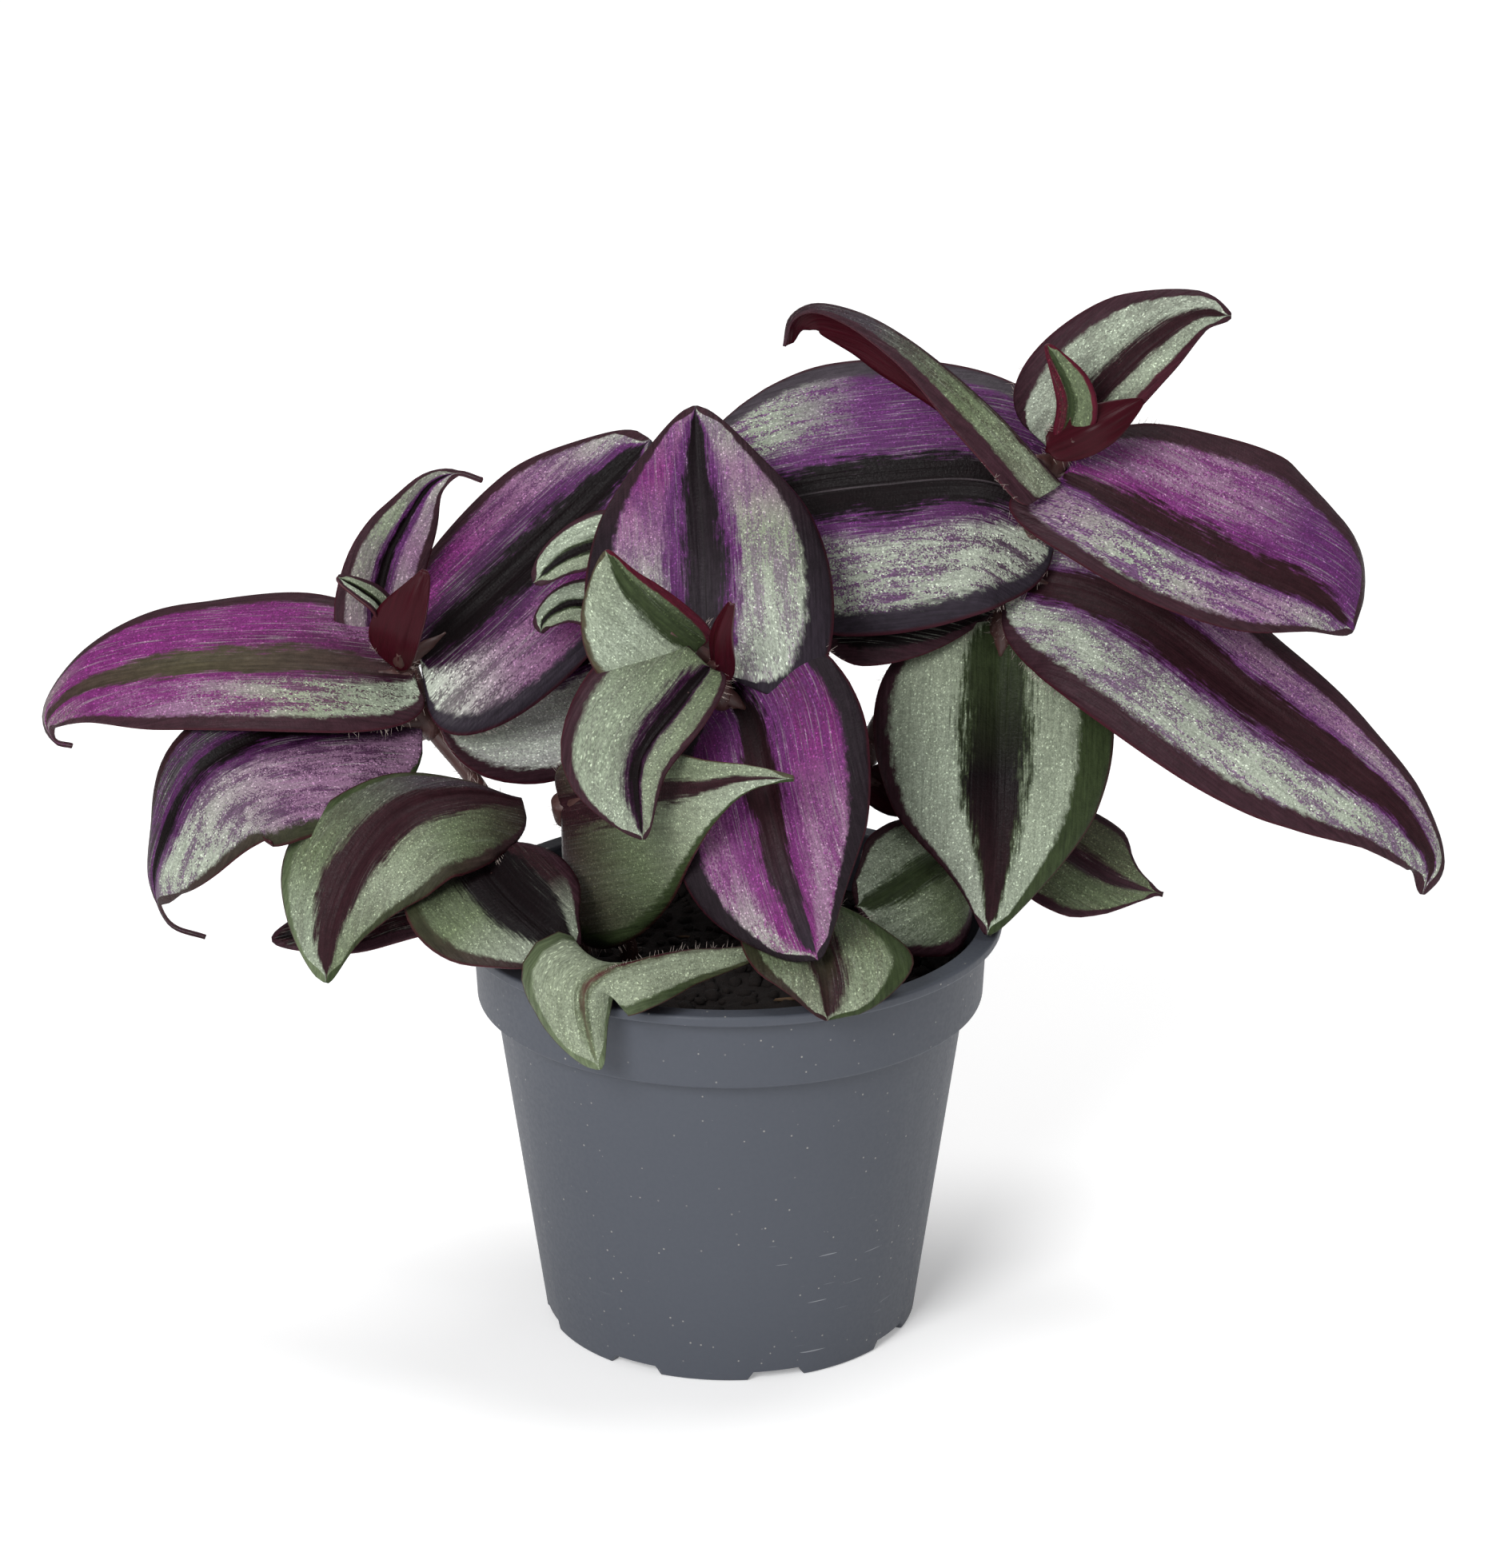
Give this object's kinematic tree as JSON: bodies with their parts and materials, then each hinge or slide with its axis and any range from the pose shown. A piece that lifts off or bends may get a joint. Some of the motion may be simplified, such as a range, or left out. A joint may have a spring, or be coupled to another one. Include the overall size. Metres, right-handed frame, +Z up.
{
  "type": "potted tradescantia",
  "caption": "Wandering houseplant with striped, pointed leaves on hairy stems, growing from soil in a round plastic nursery pot with a stepped collar and a turned-out lip.",
  "frame": {"origin": "on the pot's axis, level with the pot's foot, which is also the bottom centre of the whole plant's box", "axes": "+Z up along the pot's axis; +X to the right, along the plant's widest spread, seen from the front; +Y to the back"},
  "size_m": [0.2294, 0.0985, 0.1759],
  "materials": {
    "pot_plastic": "matt injection-moulded blue-grey plastic with fine scratches and dust",
    "soil": "dark crumbly peat",
    "foliage": "satin leaf, dark purple with two sparkling silver, green and violet stripes, wine-red underneath, hairy"
  },
  "bodies": {
    "root": {"pot": "pot_plastic", "soil": "soil", "stem_left": "foliage", "stem_centre": "foliage", "stem_right": "foliage", "stem_back_left": "foliage", "stem_back_right": "foliage", "stem_low_centre": "foliage", "stem_low_left": "foliage", "stem_front": "foliage", "stem_low_right": "foliage", "stem_far_right": "foliage", "stem_rear": "foliage"}
  },
  "joints": []
}
